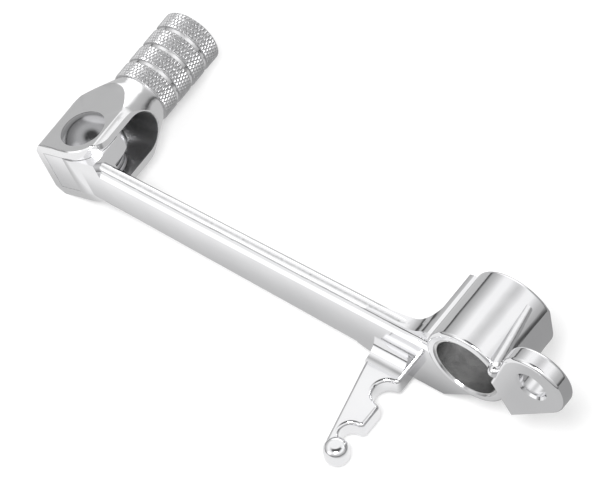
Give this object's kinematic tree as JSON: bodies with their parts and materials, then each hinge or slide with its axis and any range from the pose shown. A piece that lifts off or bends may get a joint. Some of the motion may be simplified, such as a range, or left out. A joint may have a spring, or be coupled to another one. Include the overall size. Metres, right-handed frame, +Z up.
{
  "type": "motorcycle rear brake pedal",
  "caption": "Polished rear brake pedal: flat-sided arm with a beaded edge, bushed pivot hub, drilled rod ear, notched spring flange and a spring-loaded folding knurled toe peg.",
  "frame": {"origin": "on the axis of the pivot bore, half way along the hub", "axes": "+Y along the pivot bore, outboard, the way the toe peg points; the arm runs from the hub towards -X; +Z is up across the arm"},
  "size_m": [0.1939, 0.0976, 0.0513],
  "materials": {
    "polished_arm": "polished",
    "bush_steel": "bored",
    "polished_peg": "polished, barrel knurled",
    "rivet_steel": "polished",
    "spring_steel": "drawn wire"
  },
  "bodies": {
    "pedal": {"pedal_arm": "polished_arm", "pivot_bush": "bush_steel", "peg_spring": "spring_steel"},
    "folding_peg": {"toe_peg": "polished_peg", "peg_rivet": "rivet_steel"}
  },
  "joints": [
    {"name": "toe_peg_fold", "type": "hinge", "parent": "pedal", "child": "folding_peg", "pos_m": [-0.141, -0.0024, -0.0112], "axis": [0.3746, 0, -0.9272], "range_deg": [0, 60], "stiffness_Nm_per_rad": 0.25, "springref_deg": -22.92, "deforming": ["peg_spring"]}
  ]
}
